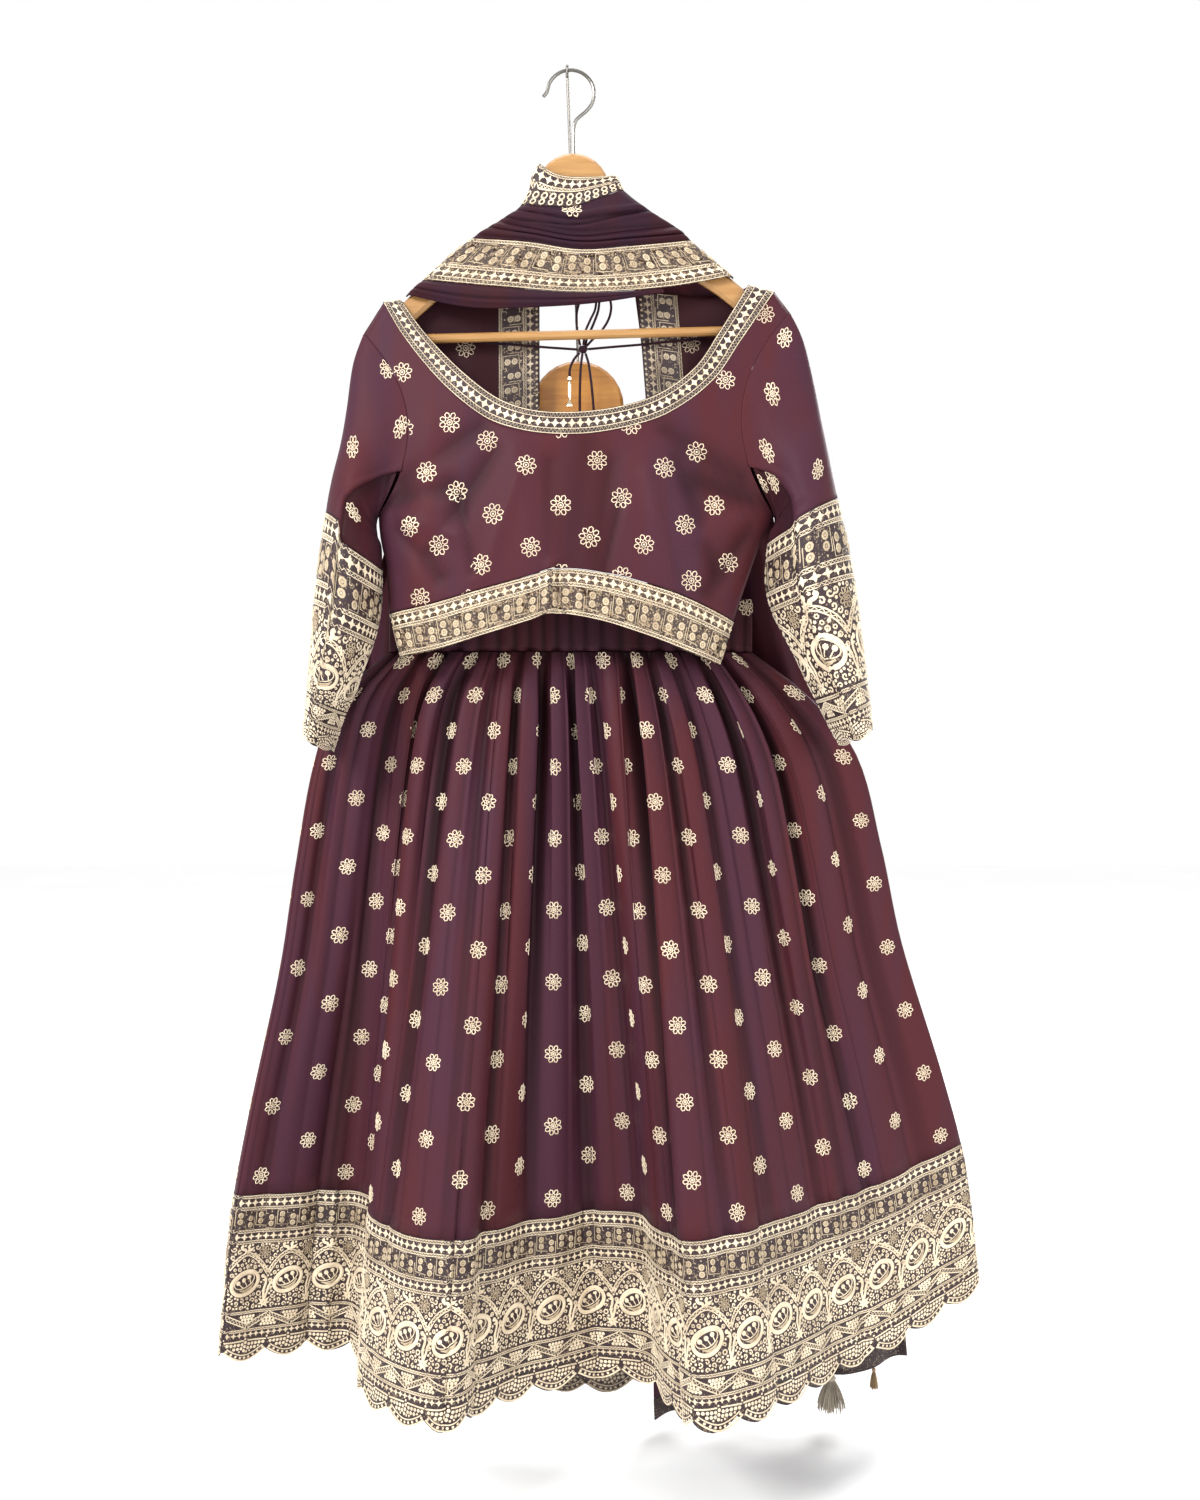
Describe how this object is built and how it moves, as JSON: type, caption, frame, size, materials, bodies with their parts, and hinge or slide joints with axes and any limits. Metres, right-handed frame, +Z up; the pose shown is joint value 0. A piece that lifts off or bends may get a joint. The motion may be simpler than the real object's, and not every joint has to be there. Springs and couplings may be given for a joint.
{
  "type": "lehenga set on hangers",
  "caption": "Gathered long skirt, open-backed blouse and long scarf, hung on wooden hangers as a set.",
  "frame": {"origin": "under the top of the first hanger's hook, where a rail carries it", "axes": "+Z up, -Y towards the viewer of the set's front, +X to the viewer's right"},
  "size_m": [0.8653, 0.3019, 1.5606],
  "materials": {
    "shot_silk": "shot silk, plum with a purple sheen",
    "lace": "cream embroidery on plum cloth",
    "ribbon": "satin ribbon",
    "silk_cord": "rolled silk cord",
    "tassel_thread": "loose thread",
    "pale_wood": "clear satin lacquer",
    "brown_wood": "clear gloss lacquer",
    "steel_wire": "polished",
    "gilt_bead": "worn gilt"
  },
  "bodies": {
    "root": {"hook_wire": "steel_wire", "hanger_board": "pale_wood", "hanger_bar": "pale_wood", "skirt_hanger_wire": "steel_wire", "skirt_hanger_board": "brown_wood", "hanging_loop_left": "ribbon", "hanging_loop_right": "ribbon", "blouse_front": "shot_silk", "neck_border": "lace", "front_hem_border": "lace", "blouse_back_left": "shot_silk", "back_border_left": "lace", "sleeve_left": "shot_silk", "sleeve_border_left": "lace", "blouse_back_right": "shot_silk", "back_border_right": "lace", "sleeve_right": "shot_silk", "sleeve_border_right": "lace", "back_hem_border": "lace", "tie_knot": "silk_cord", "tie_left": "silk_cord", "tie_right": "silk_cord", "bow_left": "silk_cord", "bow_right": "silk_cord", "tie_end_bead": "silk_cord", "tie_end_middle": "silk_cord", "tie_end_right": "silk_cord", "tie_bead": "gilt_bead", "waistband": "shot_silk", "skirt_front": "shot_silk", "hem_border_front": "lace", "skirt_back": "shot_silk", "hem_border_back": "lace", "dupatta_top_border": "lace", "dupatta_upper_fold": "shot_silk", "dupatta_lower_fold": "shot_silk", "dupatta_border_band": "lace", "dupatta_roll": "shot_silk", "dupatta_tail_left": "shot_silk", "dupatta_end_left": "lace", "dupatta_tail_right": "shot_silk", "dupatta_end_right": "lace", "tassel_large": "tassel_thread", "tassel_small": "tassel_thread"}
  },
  "joints": []
}
